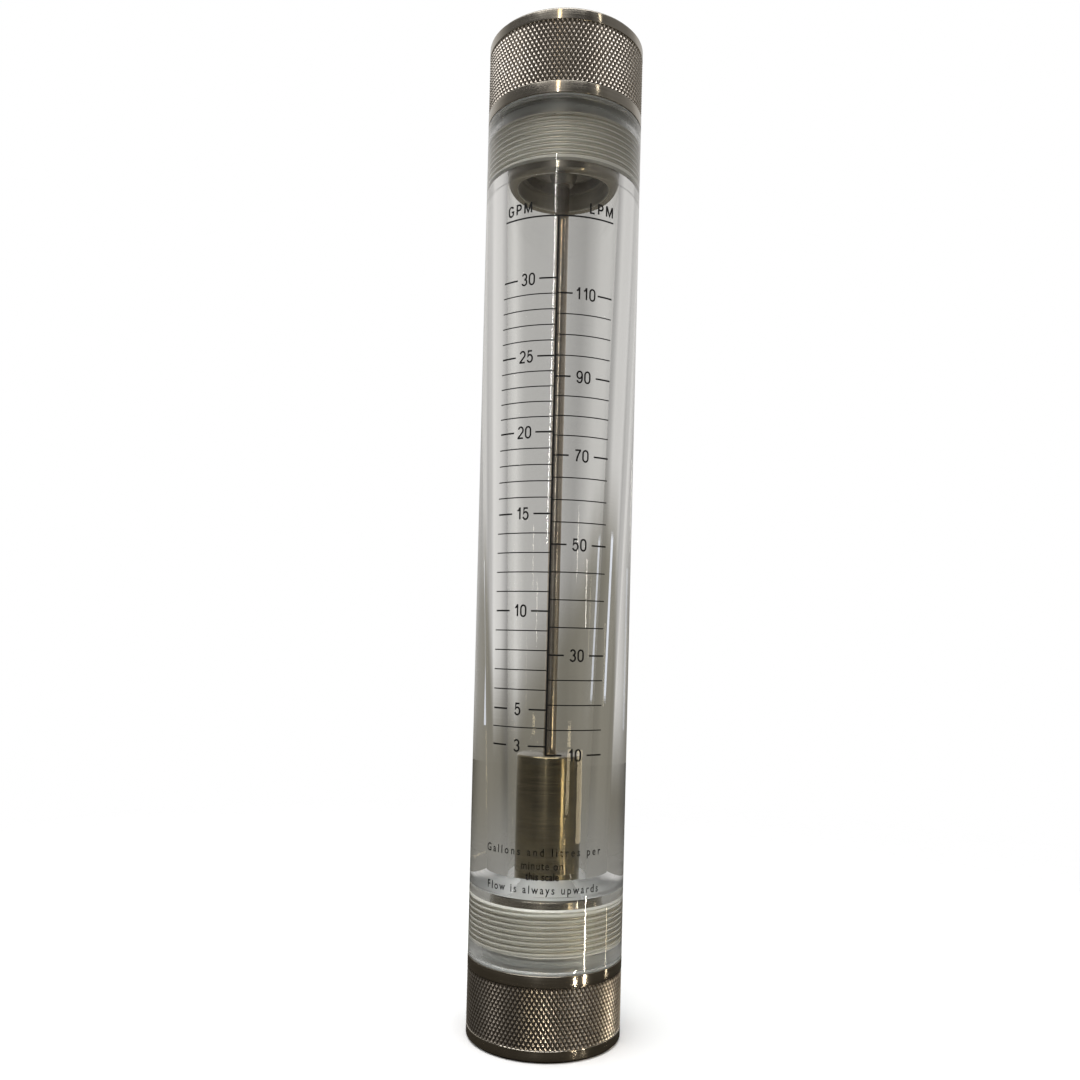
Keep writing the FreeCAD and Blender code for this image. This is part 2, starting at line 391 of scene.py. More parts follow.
@dataclass(frozen=True)
class Steel:
    """Stainless steel with the marks that its making left.

    The marks are drawn coarser than the tool's true feed of about 0.1 mm, which is too fine to show.
    """

    name: str
    marks: Marks
    colour: str
    shade: str
    roughness: float
    anisotropy: float
    mark_mm: float
    mark_depth_mm: float
    crest_mm: float | None = None     # radius of knurl crests, which handling keeps smooth and bright; below them the grooves get grime and painted shade
    uneven: float = 0.2               # how far the roughness wanders, as a share of it
    clouds_per_metre: float = 90.0    # paler and darker patches about 11 mm across
    grime: str = "#57504A"            # grime and painted shade, darker towards the bottom of the knurl's grooves
    grime_depth_mm: float = 0.5
    grime_roughness: float = 0.5

    def material(self) -> bpy.types.Material:
        """Builds the node material.

        Returns:
            The material.
        """
        material, tree = new_material(self.name)
        place = add_node(tree, "ShaderNodeTexCoord").outputs["Object"]
        per_metre = 1 / (self.mark_mm * MM)
        stretch = add_node(tree, "ShaderNodeVectorMath", {
            0: place, 1: [share * per_metre for share in self.marks.value],
        }, operation="MULTIPLY").outputs[0]
        grain = add_node(tree, "ShaderNodeTexNoise", {
            "Vector": stretch, "Scale": 1.0, "Detail": 3.0, "Roughness": 0.6,
        }).outputs["Fac"]
        clouds = add_node(tree, "ShaderNodeTexNoise", {
            "Vector": place, "Scale": self.clouds_per_metre, "Detail": 2.0,
        }).outputs["Fac"]
        tone = add_node(tree, "ShaderNodeMapRange", {
            "Value": add_node(tree, "ShaderNodeMath", {0: grain, 1: clouds}).outputs[0],
            "From Min": 0.75, "From Max": 1.25,
        }).outputs[0]
        colour = add_node(tree, "ShaderNodeMix", {
            "Factor": tone, "A": linear(self.shade), "B": linear(self.colour),
        }, data_type="RGBA")
        rough = add_node(tree, "ShaderNodeMapRange", {
            "Value": grain, "From Min": 0.3, "From Max": 0.7,
            "To Min": self.roughness * (1 - self.uneven), "To Max": self.roughness * (1 + self.uneven),
        }).outputs[0]
        shown_colour, shown_rough = colour.outputs["Result"], rough
        if self.crest_mm is not None:
            shown_colour, shown_rough = self.worn_crests(tree, place, shown_colour, shown_rough)
        bump = add_node(tree, "ShaderNodeBump", {
            "Height": grain, "Strength": 1.0, "Distance": self.mark_depth_mm * MM,
        }).outputs[0]
        tangent = add_node(tree, "ShaderNodeTangent", direction_type="RADIAL", axis="Z").outputs[0]
        shader = add_node(tree, "ShaderNodeBsdfPrincipled", {
            "Base Color": shown_colour, "Metallic": 1.0, "Roughness": shown_rough, "Normal": bump,
            "Anisotropic": self.anisotropy,
            "Anisotropic Rotation": 0.0 if self.marks is Marks.DRAWN else 0.25,
            "Tangent": tangent,
        })
        add_node(tree, "ShaderNodeOutputMaterial", {"Surface": shader.outputs[0]})
        return material

    def worn_crests(self, tree: bpy.types.NodeTree, place: bpy.types.NodeSocket,
                    colour: bpy.types.NodeSocket, rough: bpy.types.NodeSocket
                    ) -> tuple[bpy.types.NodeSocket, bpy.types.NodeSocket]:
        """Darkens the knurl's grooves by distance from the axis, as grime and painted shade, and makes
        them rougher than the worn crests.

        Args:
            tree: The material's node tree.
            place: Object coordinates.
            colour: The steel's colour.
            rough: The steel's roughness.

        Returns:
            The colour and roughness to show.
        """
        flat = add_node(tree, "ShaderNodeVectorMath", {0: place, 1: (1.0, 1.0, 0.0)},
                        operation="MULTIPLY").outputs[0]
        radius = add_node(tree, "ShaderNodeVectorMath", {0: flat}, operation="LENGTH").outputs["Value"]
        crest = add_node(tree, "ShaderNodeMapRange", {
            "Value": radius, "From Min": (self.crest_mm - self.grime_depth_mm) * MM,
            "From Max": self.crest_mm * MM,
        }).outputs[0]
        # Painted shade, with grime: the colour darkens towards the bottom of the knurl's grooves.
        grime = add_node(tree, "ShaderNodeMix", {
            "Factor": crest, "A": linear(self.grime), "B": colour,
        }, data_type="RGBA").outputs["Result"]
        worn = add_node(tree, "ShaderNodeMapRange", {
            "Value": crest, "To Min": self.grime_roughness, "To Max": self.roughness,
        }).outputs[0]
        return grime, add_node(tree, "ShaderNodeMath", {0: worn, 1: rough},
                               operation="MAXIMUM").outputs[0]


@dataclass(frozen=True)
class Acrylic:
    """Cast acrylic. Polished it is clear as glass; where it was bored and threaded it is satin.

    The satin faces scatter part of the light, which gives the threads their pale milky look.
    """

    name: str
    tint: str = "#F8F8F7"
    index: float = 1.49
    roughness: float = 0.0
    clarity: float = 1.0
    ring_mm: float = 0.5         # true feed marks are about 0.15 mm and wouldn't show
    ring_depth_mm: float = 0.0
    shadow: str = "#DADDDB"
    uneven: float = 0.3          # how far the roughness wanders, as a share of it
    round_per_metre: float = 20.0    # the rings change only every 50 mm or so round the tube

    def material(self) -> bpy.types.Material:
        """Builds the node material. Shadow rays pass straight through, so lamps reach the pieces inside.

        Returns:
            The material.
        """
        material, tree = new_material(self.name)
        place = add_node(tree, "ShaderNodeTexCoord").outputs["Object"]
        stretch = add_node(tree, "ShaderNodeVectorMath", {
            0: place, 1: (self.round_per_metre, self.round_per_metre, 1 / (self.ring_mm * MM)),
        }, operation="MULTIPLY").outputs[0]
        rings = add_node(tree, "ShaderNodeTexNoise", {
            "Vector": stretch, "Scale": 1.0, "Detail": 2.0,
        }).outputs["Fac"]
        rough = add_node(tree, "ShaderNodeMapRange", {
            "Value": rings, "From Min": 0.3, "From Max": 0.7,
            "To Min": self.roughness * (1 - self.uneven), "To Max": self.roughness * (1 + self.uneven),
        }).outputs[0]
        bump = add_node(tree, "ShaderNodeBump", {
            "Height": rings, "Strength": 1.0, "Distance": self.ring_depth_mm * MM,
        }).outputs[0]
        clear = add_node(tree, "ShaderNodeBsdfPrincipled", {
            "Base Color": linear(self.tint), "Roughness": rough, "IOR": self.index,
            "Transmission Weight": self.clarity, "Normal": bump,
        })
        passing = add_node(tree, "ShaderNodeBsdfTransparent", {"Color": linear(self.shadow)})
        path = add_node(tree, "ShaderNodeLightPath")
        surface = add_node(tree, "ShaderNodeMixShader", {
            0: path.outputs["Is Shadow Ray"], 1: clear.outputs[0], 2: passing.outputs[0],
        })
        add_node(tree, "ShaderNodeOutputMaterial", {"Surface": surface.outputs[0]})
        return material


@dataclass(frozen=True)
class Silicone:
    """Moulded silicone rubber: pale, waxy and slightly translucent, so the ring hardly shows."""

    name: str = "silicone_moulded"
    colour: str = "#B4B3AF"
    fleck: str = "#A3A29E"
    grain_mm: float = 0.6
    grain_depth_mm: float = 0.02
    glow_mm: float = 1.0         # how far light spreads under the surface

    def material(self) -> bpy.types.Material:
        """Builds the node material.

        Returns:
            The material.
        """
        material, tree = new_material(self.name)
        place = add_node(tree, "ShaderNodeTexCoord").outputs["Object"]
        grain = add_node(tree, "ShaderNodeTexNoise", {
            "Vector": place, "Scale": 1 / (self.grain_mm * MM), "Detail": 2.0,
        }).outputs["Fac"]
        colour = add_node(tree, "ShaderNodeMix", {
            "Factor": grain, "A": linear(self.fleck), "B": linear(self.colour),
        }, data_type="RGBA").outputs["Result"]
        bump = add_node(tree, "ShaderNodeBump", {
            "Height": grain, "Distance": self.grain_depth_mm * MM,
        }).outputs[0]
        shader = add_node(tree, "ShaderNodeBsdfPrincipled", {
            "Base Color": colour, "Roughness": 0.45, "IOR": 1.41, "Normal": bump,
            "Subsurface Weight": 0.3, "Subsurface Radius": [self.glow_mm * MM] * 3,
            "Subsurface Scale": 1.0,
        })
        add_node(tree, "ShaderNodeOutputMaterial", {"Surface": shader.outputs[0]})
        return material


@dataclass(frozen=True)
class ScreenInk:
    """Screen-printed black ink: matt, a little thinner in places, with the mesh's faint grain."""

    name: str = "ink_screen_printed"
    colour: str = "#060607"
    thin: str = "#161618"
    grain_mm: float = 0.35

    def material(self) -> bpy.types.Material:
        """Builds the node material.

        Returns:
            The material.
        """
        material, tree = new_material(self.name)
        place = add_node(tree, "ShaderNodeTexCoord").outputs["Object"]
        grain = add_node(tree, "ShaderNodeTexNoise", {
            "Vector": place, "Scale": 1 / (self.grain_mm * MM), "Detail": 2.0,
        }).outputs["Fac"]
        sparse = add_node(tree, "ShaderNodeMapRange", {
            "Value": grain, "From Min": 0.55, "From Max": 0.8,
        }).outputs[0]
        colour = add_node(tree, "ShaderNodeMix", {
            "Factor": sparse, "A": linear(self.colour), "B": linear(self.thin),
        }, data_type="RGBA").outputs["Result"]
        rough = add_node(tree, "ShaderNodeMapRange", {
            "Value": grain, "To Min": 0.5, "To Max": 0.75,
        }).outputs[0]
        shader = add_node(tree, "ShaderNodeBsdfPrincipled", {
            "Base Color": colour, "Roughness": rough, "IOR": 1.35,
        })
        add_node(tree, "ShaderNodeOutputMaterial", {"Surface": shader.outputs[0]})
        return material


@dataclass
class Finishes:
    """Every material of the meter, made once."""

    # The lathe's rings round the axis draw each highlight out into an upright streak.
    turned: bpy.types.Material = field(default_factory=Steel(
        "stainless_304_turned", Marks.TURNED, "#B4ADA2", "#A19A8E", 0.17, 0.93, 0.5, 0.002).material)
    # Bored and thread-cut steel: rougher marks scatter the light, so it is a pale, even grey.
    pocket: bpy.types.Material = field(default_factory=Steel(
        "stainless_304_bored", Marks.TURNED, "#D0CCC3", "#BDB8AD", 0.45, 0.4, 0.6, 0.004).material)
    # Rolled knurl: bright worn crests over grooves painted darker, as grime and painted shade; the crests
    # glitter in points.
    knurled: bpy.types.Material = field(default_factory=Steel(
        "stainless_304_knurled", Marks.CAST, "#E2DACF", "#C6BDB1", 0.30, 0.0, 0.7, 0.006,
        crest_mm=30.0).material)
    # Investment cast: an even, dull grain without streaks.
    cast: bpy.types.Material = field(default_factory=Steel(
        "stainless_316_cast", Marks.CAST, "#B5B0A8", "#98938B", 0.42, 0.0, 0.8, 0.03).material)
    # Cold drawn bar: lines along the rod, and narrow, clean reflections.
    drawn: bpy.types.Material = field(default_factory=Steel(
        "stainless_316_drawn", Marks.DRAWN, "#CFC6BA", "#B8AC9D", 0.16, 0.4, 0.5, 0.002).material)
    # Machine-finished fasteners: plain, fairly bright steel.
    fastener: bpy.types.Material = field(default_factory=Steel(
        "stainless_a2_bright", Marks.TURNED, "#CFCBC4", "#B8B3AA", 0.25, 0.3, 0.4, 0.004).material)
    # Fine turned float: dark and warm, with golden upright streaks.
    float_steel: bpy.types.Material = field(default_factory=Steel(
        "stainless_316_fine_turned", Marks.TURNED, "#958A6F", "#7C725C", 0.19, 0.93, 0.35, 0.002).material)
    # Polished outside: as clear and sharp as glass.
    clear: bpy.types.Material = field(default_factory=Acrylic("acrylic_polished").material)
    # Bored and polished: clear, with faint rings that break a lamp's reflection into sparkles.
    bored: bpy.types.Material = field(default_factory=Acrylic(
        "acrylic_bored", roughness=0.02, ring_mm=0.4, ring_depth_mm=0.003).material)
    # Fine turned and left unpolished: light passes, but what is behind it blurs.
    frosted: bpy.types.Material = field(default_factory=Acrylic(
        "acrylic_fine_turned", tint="#CACCCC", roughness=0.36, clarity=0.88, ring_depth_mm=0.01).material)
    # Thread-cut: satin and milky.
    satin: bpy.types.Material = field(default_factory=Acrylic(
        "acrylic_machined", tint="#E6E4DC", roughness=0.4, clarity=0.36, ring_depth_mm=0.02).material)
    rubber: bpy.types.Material = field(default_factory=Silicone().material)
    ink: bpy.types.Material = field(default_factory=ScreenInk().material)


# ------------------------------------------------------------------------------------ end fittings

@dataclass
class Knurl:
    """Diamond knurl: two crossed sets of grooves that leave flat-topped pyramids."""

    crest: float
    depth: float = 0.5
    half_rows: int = 15
    flat: float = 0.12           # share of a diamond's width that the roll leaves flat on top

    @property
    def valley(self) -> float:
        """Radius at the bottom of the grooves."""
        return self.crest - self.depth

    def add(self, skin: Skin, low: float, high: float, finish: int) -> None:
        """Lays the diamonds between two heights, on rings of the valley's radius.

        Args:
            skin: The fitting's skin, with two facets for each start of the knurl.
            low: Height of the lower ring.
            high: Height of the upper ring.
            finish: Material slot of the diamonds.
        """
        step = (high - low) / self.half_rows
        for row in range(self.half_rows + 1):
            middle = low + row * step
            for start in range(KNURL_STARTS):
                column = 2 * start + (row + 1) % 2
                self.diamond(skin, column, middle, step, row > 0, row < self.half_rows, finish)

    def diamond(self, skin: Skin, column: int, middle: float, step: float,
                has_lower: bool, has_upper: bool, finish: int) -> None:
        """Adds one diamond, or the half of it that lies on the knurled band.

        Args:
            skin: The fitting's skin.
            column: Facet column of the diamond's middle.
            middle: Height of its middle.
            step: Half of its height.
            has_lower: Whether its lower half is on the band.
            has_upper: Whether its upper half is.
            finish: Material slot.
        """
        def at(radius: float, across: float, along: float) -> tuple[float, float, float]:
            """Point at this radius, so many columns across and half heights up from the middle."""
            angle = TURN * (column + across) / FACETS
            return ring_point(radius, angle, middle + along * step)

        left, right = at(self.valley, -1, 0), at(self.valley, 1, 0)
        top_left, top_right = at(self.crest, -self.flat, 0), at(self.crest, self.flat, 0)
        halves = [side for side, there in ((-1, has_lower), (1, has_upper)) if there]
        tips = [at(self.crest, 0, side * self.flat) for side in halves]
        for side, tip in zip(halves, tips):
            foot = at(self.valley, 0, side)
            skin.face([left, foot, tip, top_left], finish)
            skin.face([foot, right, top_right, tip], finish)
        if len(halves) == 2:
            skin.face([top_left, tips[0], top_right, tips[1]], finish)
        else:
            skin.face([top_left, tips[0], top_right], finish)
            skin.face([left, top_left, top_right, right, at(self.valley, 0, 0)], finish)


@dataclass
class EndFitting:
    """Turned stainless fitting: knurled head with a pipe port, and the threaded neck in the tube."""

    finishes: Finishes
    outer_band: float = 4.5
    inner_band: float = 4.25
    knurl_relief: float = 0.35
    relief_slope: float = 0.8    # share of the relief that slopes
    relief_land: float = 0.2     # and the share beside the knurl that is level
    head_chamfer: float = 1.0
    edge: float = 0.18
    port_mouth: float = 16.65
    port_crest: float = 15.15
    port_root: float = 16.6
    port_pitch: float = 2.309
    port_thread_end: float = 20.0
    port_relief_end: float = 23.0
    port_relief: float = 16.75
    port_chamfer: float = 0.3
    port_step: float = 0.1       # from the thread's end to the relief's full depth
    throat: float = 13.5
    pocket: float = 17.55
    pocket_depth: float = 10.1
    pocket_chamfer: float = 0.3
    neck: float = 24.0
    groove_floor: float = 21.9
    groove_low: float = 1.2
    groove_high: float = 4.4
    thread_start: float = 5.4    # from the head's inner face
    thread_pitch: float = 2.0
    thread_root: float = 22.75
    thread_lead: float = 0.5
    thread_play: float = 0.05
    neck_relief: float = 21.7    # 22.6 in the CAD
    neck_relief_length: float = 3.8
    neck_relief_lead: float = 0.2
    neck_chamfer: float = 0.8

    def skin(self) -> Skin:
        """Builds the lower fitting's skin.

        Returns:
            The skin. Its finish 0 is turned steel, 1 the knurl, and 2 the neck's thread and the pocket.
        """
        head = Span.of("metering_tube").low
        span = Span.of(End.LOWER.node("end_fitting"))
        body, neck_end = span.radius, span.high
        knurl = Knurl(crest=body)
        knurl_low = self.outer_band + self.knurl_relief
        knurl_high = head - self.inner_band - self.knurl_relief
        thread_low = head + self.thread_start
        thread_high = neck_end - self.neck_relief_length
        skin = Skin()
        skin.turn(softened([
            (self.port_mouth, 0.0),
            (body - self.head_chamfer, 0.0),
            (body, self.head_chamfer),
            (body, self.outer_band),
            (knurl.valley, self.outer_band + self.knurl_relief * self.relief_slope),
            (knurl.valley, knurl_low),
        ], self.edge))
        knurl.add(skin, knurl_low, knurl_high, 1)
        skin.turn(softened([
            (knurl.valley, knurl_high),
            (knurl.valley, knurl_high + self.knurl_relief * self.relief_land),
            (body, head - self.inner_band),
            (body, head),
            (self.neck, head),
            (self.neck, head + self.groove_low),
            (self.groove_floor, head + self.groove_low),
            (self.groove_floor, head + self.groove_high),
            (self.neck, head + self.groove_high),
            (self.neck, thread_low - self.thread_lead),
            (self.thread_root, thread_low),
        ], self.edge))
        male = ThreadForm(self.thread_pitch, self.thread_root, self.neck - self.thread_play,
                          METRIC_CORNERS)
        skin.thread(male, thread_low, thread_high, 2)
        skin.turn(softened([
            (self.thread_root, thread_high),
            (self.neck_relief, thread_high + self.neck_relief_lead),
            (self.neck_relief, neck_end - self.neck_chamfer),
            (self.neck_relief - self.neck_chamfer, neck_end),
            (self.pocket + self.pocket_chamfer, neck_end),
        ], self.edge))
        skin.turn(softened([
            (self.pocket + self.pocket_chamfer, neck_end),
            (self.pocket, neck_end - self.pocket_chamfer),
            (self.pocket, neck_end - self.pocket_depth),
            (self.throat, neck_end - self.pocket_depth),
            (self.throat, self.port_relief_end + self.port_relief),
        ], self.edge), 2)
        skin.turn(softened([
            (self.throat, self.port_relief_end + self.port_relief),
            (self.throat, self.port_relief_end + self.port_relief - self.throat),
            (self.port_relief, self.port_relief_end),
            (self.port_relief, self.port_thread_end + self.port_step),
            (self.port_root, self.port_thread_end),
        ], self.edge))
        female = ThreadForm(self.port_pitch, self.port_root, self.port_crest, WHITWORTH_CORNERS)
        skin.thread(female, self.port_chamfer, self.port_thread_end)
        skin.turn([(self.port_root, self.port_chamfer), (self.port_mouth, 0.0)])
        return skin

    def build(self, end: End) -> bpy.types.Object:
        """Makes one fitting.

        Args:
            end: Which end of the meter.

        Returns:
            The fitting's object.
        """
        skin = self.skin()
        if end is End.UPPER:
            skin = skin.turned_over(Span.of(End.UPPER.node("end_fitting")).high)
        name = end.node("end_fitting")
        made = skin.piece(name + "_detailed", [
            self.finishes.turned, self.finishes.knurled, self.finishes.pocket,
        ])
        seat(made, "meter", "turned_steel", name)
        return made


@dataclass
class SealRing:
    """Round-section rubber ring, squeezed a little flat between its groove and the tube."""

    finishes: Finishes
    inner: float = 21.9
    corner: float = 1.1
    corner_steps: int = 6
    play: float = 0.03

    def build(self, end: End) -> bpy.types.Object:
        """Makes one ring.

        Args:
            end: Which end of the meter.

        Returns:
            The ring's object.
        """
        name = end.node("seal_ring")
        span = Span.of(name)
        outer = span.radius - self.play
        middle = (span.low + span.high) / 2
        section = softened([
            (self.inner + self.play, middle),
            (self.inner + self.play, span.low),
            (outer, span.low),
            (outer, span.high),
            (self.inner + self.play, span.high),
            (self.inner + self.play, middle),
        ], self.corner, self.corner_steps)
        skin = Skin()
        skin.turn(section)
        made = skin.piece(name + "_detailed", [self.finishes.rubber])
        seat(made, "meter", "seal", name)
        return made


# ------------------------------------------------------------------------------------ metering tube

@dataclass
class MeteringTube:
    """Clear acrylic bar with a bore that widens upwards, counterbored and threaded at both ends."""

    finishes: Finishes
    print_room: float = 0.03     # the printed scale stands this far proud of the tube
    end_gap: float = 0.04        # between the tube's end face and the fitting's head
    bore_low: float = 15.5
    bore_high: float = 21.88     # 22.0 in the CAD
    bore_high_drop: float = 1.5  # the bore's upper end lies this far from the counterbore's
    socket_end: float = 22.0     # plain end of the counterbore, past the thread: 24.05 in the CAD
    tool_step: float = 0.12      # at the bore's upper end, where the CAD has a cone
    counterbore: float = 24.05
    thread_root: float = 22.85
    thread_pitch: float = 2.0
    thread_start: float = 5.2    # from the tube's end face
    thread_end: float = 4.0      # from the counterbore's foot
    thread_land: float = 0.1     # plain, past the thread
    thread_exit: float = 0.6     # from the thread's end to the plain end of the counterbore
    neck_gap: float = 0.2        # between the neck's end and the counterbore's foot
    mouth_chamfer: float = 0.3
    end_chamfer: float = 0.4
    turned_length: float = 0.5   # past the chamfer, before the polished outside starts
    edge: float = 0.15

    def socket(self, end_face: float, socket_foot: float, inner: Outline, inner_finish: int) -> Skin:
        """Builds the counterbore at the tube's lower end, up to the bore.

        Finish 0 is polished, 1 is satin, 2 is finely bored and 3 is frosted.

        Args:
            end_face: Height of the tube's end face.
            socket_foot: Height where the counterbore ends.
            inner: What leads from the counterbore's end to the bore.
            inner_finish: Finish of that.

        Returns:
            The skin from the outer chamfer to the bore.
        """
        outside = Span.of("metering_tube").radius - self.print_room
        thread_low = end_face + self.thread_start
        thread_high = socket_foot - self.thread_end
        skin = Skin()
        skin.turn(softened([
            (outside, end_face + self.end_chamfer + self.turned_length),
            (outside, end_face + self.end_chamfer),
            (outside - self.end_chamfer, end_face),
            (self.counterbore + self.mouth_chamfer, end_face),
            (self.counterbore, end_face + self.mouth_chamfer),
            (self.counterbore, thread_low),
        ], self.edge), 3)
        female = ThreadForm(self.thread_pitch, self.counterbore, self.thread_root, METRIC_CORNERS)
        skin.thread(female, thread_low, thread_high, 1)
        step_high = thread_high + self.thread_exit
        skin.turn([
            (self.counterbore, thread_high),
            (self.counterbore, thread_high + self.thread_land),
            (self.socket_end, step_high),
        ], 1)
        skin.turn([(self.socket_end, step_high), (self.socket_end, socket_foot)], 2)
        skin.turn([(self.socket_end, socket_foot), *inner], inner_finish)
        return skin

    def build(self) -> bpy.types.Object:
        """Makes the tube, with a 45 degree cone below the bore and a tool's step above it.

        The CAD has a 37 degree cone at both ends of the bore.

        Returns:
            The tube's object.
        """
        span = Span.of("metering_tube")
        length = span.low + span.high
        foot = Span.of(End.LOWER.node("end_fitting")).high + self.neck_gap
        outside = span.radius - self.print_room
        end_face = span.low + self.end_gap
        bore_start = foot + self.socket_end - self.bore_low
        bore_end = foot + self.bore_high_drop
        skin = self.socket(end_face, foot, [(self.bore_low, bore_start)], 3)
        skin.join(self.socket(end_face, foot, [
            (self.socket_end, bore_end - self.tool_step),
            (self.bore_high, bore_end),
        ], 2).turned_over(length))
        shoulder = end_face + self.end_chamfer + self.turned_length
        skin.turn([(outside, shoulder), (outside, length - shoulder)], 0)
        skin.turn([(self.bore_low, bore_start), (self.bore_high, length - bore_end)], 2)
        made = skin.piece("metering_tube_detailed", [
            self.finishes.clear, self.finishes.satin, self.finishes.bored, self.finishes.frosted,
        ])
        seat(made, "meter", "acrylic", "metering_tube")
        return made


# ------------------------------------------------------------------------------------ float and rod

@dataclass
class FloatAndRod:
    """The steel float, the rod it slides on, and the guides and fasteners that hold the rod."""

    finishes: Finishes
    rod: float = 2.5
    rod_end: float = 2.0
    rod_thread_pitch: float = 0.7
    rod_thread_root: float = 1.57
    rod_thread_end: float = 5.4  # from the rod's tip
    rod_thread_play: float = 0.02
    rod_thread_runout: float = 0.5
    rod_thread_lead: float = 0.4
    rod_edge: float = 0.1
    rod_facets: int = 96
    shoulder: float = 13.3       # from the rod's tip to its shoulder
    float_hole: float = 2.6
    float_chamfer: float = 0.5
    float_edge: float = 0.25
    float_facets: int = 160

    def build_rod(self) -> bpy.types.Object:
        """Makes the rod, with a threaded end beyond each shoulder.

        Returns:
            The rod's object.
        """
        span = Span.of("guide_rod")
        middle = (span.low + span.high) / 2
        thread = ThreadForm(self.rod_thread_pitch, self.rod_thread_root,
                            self.rod_end - self.rod_thread_play, METRIC_CORNERS, self.rod_thread_runout)
        thread_end = span.low + self.rod_thread_end
        half = Skin(self.rod_facets)
        half.turn([(0.0, span.low), (self.rod_thread_root, span.low)])
        half.thread(thread, span.low, thread_end)
        half.turn(softened([
            (self.rod_thread_root, thread_end),
            (self.rod_end, thread_end + self.rod_thread_lead),
            (self.rod_end, span.low + self.shoulder),
            (self.rod, span.low + self.shoulder),
            (self.rod, middle),
        ], self.rod_edge))
        half.join(half.turned_over(span.low + span.high))
        made = half.piece("guide_rod_detailed", [self.finishes.drawn])
        seat(made, "meter", "drawn_steel", "guide_rod")
        return made

    def build_float(self) -> bpy.types.Object:
        """Makes the float, with broken edges and a countersunk hole.

        Returns:
            The float's object.
        """
        span = Span.of("metering_float")
        middle = (span.low + span.high) / 2
        half = Skin(self.float_facets)
        half.turn(softened([
            (self.float_hole, middle),
            (self.float_hole, span.low + self.float_chamfer),
            (self.float_hole + self.float_chamfer, span.low),
            (span.radius - self.float_chamfer, span.low),
            (span.radius, span.low + self.float_chamfer),
            (span.radius, middle),
        ], self.float_edge))
        half.join(half.turned_over(span.low + span.high))
        made = half.piece("metering_float_detailed", [self.finishes.float_steel])
        seat(made, "float", "float_steel", "metering_float")
        return made

    def dress_frame_pieces(self) -> None:
        """Gives the guides, washers and nuts, whose CAD shapes are shown as they are, their steels."""
        steels = {"rod_guide": self.finishes.cast, "lock_washer": self.finishes.fastener,
                  "rod_nut": self.finishes.fastener}
        for end in End:
            for piece, steel in steels.items():
                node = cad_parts[end.node(piece)]
                node.data.materials.clear()
                node.data.materials.append(steel)
                log.info("%s: dressed in %s", node.name, steel.name)


# ------------------------------------------------------------------------------------ printed scale

ARC_STEP_DEG = 15
LEAST_ARC_STEPS = 4
SAME_POINT = 0.01            # millimetres: nearer points of a pen stroke are one
CLOSED_GAP = 0.02            # millimetres: a stroke with a wider gap between its ends is open


@dataclass(frozen=True)
class Arc:
    """Part of an ellipse in a letter, in shares of the letter's height. Degrees grow anticlockwise."""

    x: float
    y: float
    half_width: float
    half_height: float
    start_deg: float
    end_deg: float

    def points(self) -> list[tuple[float, float]]:
        """Divides the arc into short runs.

        Returns:
            Points along the arc, ends included.
        """
        steps = max(LEAST_ARC_STEPS, round(abs(self.end_deg - self.start_deg) / ARC_STEP_DEG))
        angles = [math.radians(self.start_deg + (self.end_deg - self.start_deg) * step / steps)
                  for step in range(steps + 1)]
        return [(self.x + self.half_width * math.cos(angle), self.y + self.half_height * math.sin(angle))
                for angle in angles]


Stroke = tuple[Arc | tuple[float, float], ...]

# The plain narrow stroke alphabet of engineers' scales: each letter's width and its pen strokes.
GLYPHS: dict[str, tuple[float, tuple[Stroke, ...]]] = {
    "0": (0.47, ((Arc(0.235, 0.7, 0.235, 0.3, 0, 180), Arc(0.235, 0.3, 0.235, 0.3, 180, 360),
                  (0.47, 0.7)),)),
    "1": (0.4, (((0.08, 0.76), (0.22, 0.84), (0.29, 1.0), (0.33, 1.0), (0.33, 0.0)),)),
    "2": (0.47, ((Arc(0.235, 0.71, 0.235, 0.29, 165, -35), (0.0, 0.04), (0.0, 0.0), (0.48, 0.0)),)),
    "3": (0.47, ((Arc(0.225, 0.755, 0.21, 0.245, 160, -75), Arc(0.225, 0.27, 0.235, 0.27, 75, -160)),)),
    "5": (0.47, (((0.43, 1.0), (0.08, 1.0), (0.02, 0.5), Arc(0.22, 0.33, 0.24, 0.33, 140, -160)),)),
    "7": (0.47, (((0.0, 1.0), (0.47, 1.0), (0.47, 0.97), (0.3, 0.64), (0.18, 0.3), (0.14, 0.0)),)),
    "9": (0.47, ((Arc(0.235, 0.69, 0.235, 0.31, 0, 360),),
                 ((0.47, 0.69), (0.47, 0.45), Arc(0.23, 0.36, 0.24, 0.36, 0, -155)))),
    "G": (0.6, ((Arc(0.3, 0.64, 0.3, 0.36, 30, 180), Arc(0.3, 0.36, 0.3, 0.36, 180, 330),
                 (0.6, 0.46), (0.34, 0.46)),)),
    "L": (0.44, (((0.0, 1.0), (0.0, 0.0), (0.44, 0.0)),)),
    "M": (0.76, (((0.0, 0.0), (0.0, 1.0), (0.06, 1.0), (0.38, 0.08), (0.7, 1.0), (0.76, 1.0),
                  (0.76, 0.0)),)),
    "P": (0.5, (((0.0, 0.0), (0.0, 1.0), (0.26, 1.0), Arc(0.26, 0.73, 0.24, 0.27, 90, -90),
                 (0.0, 0.46)),)),
}


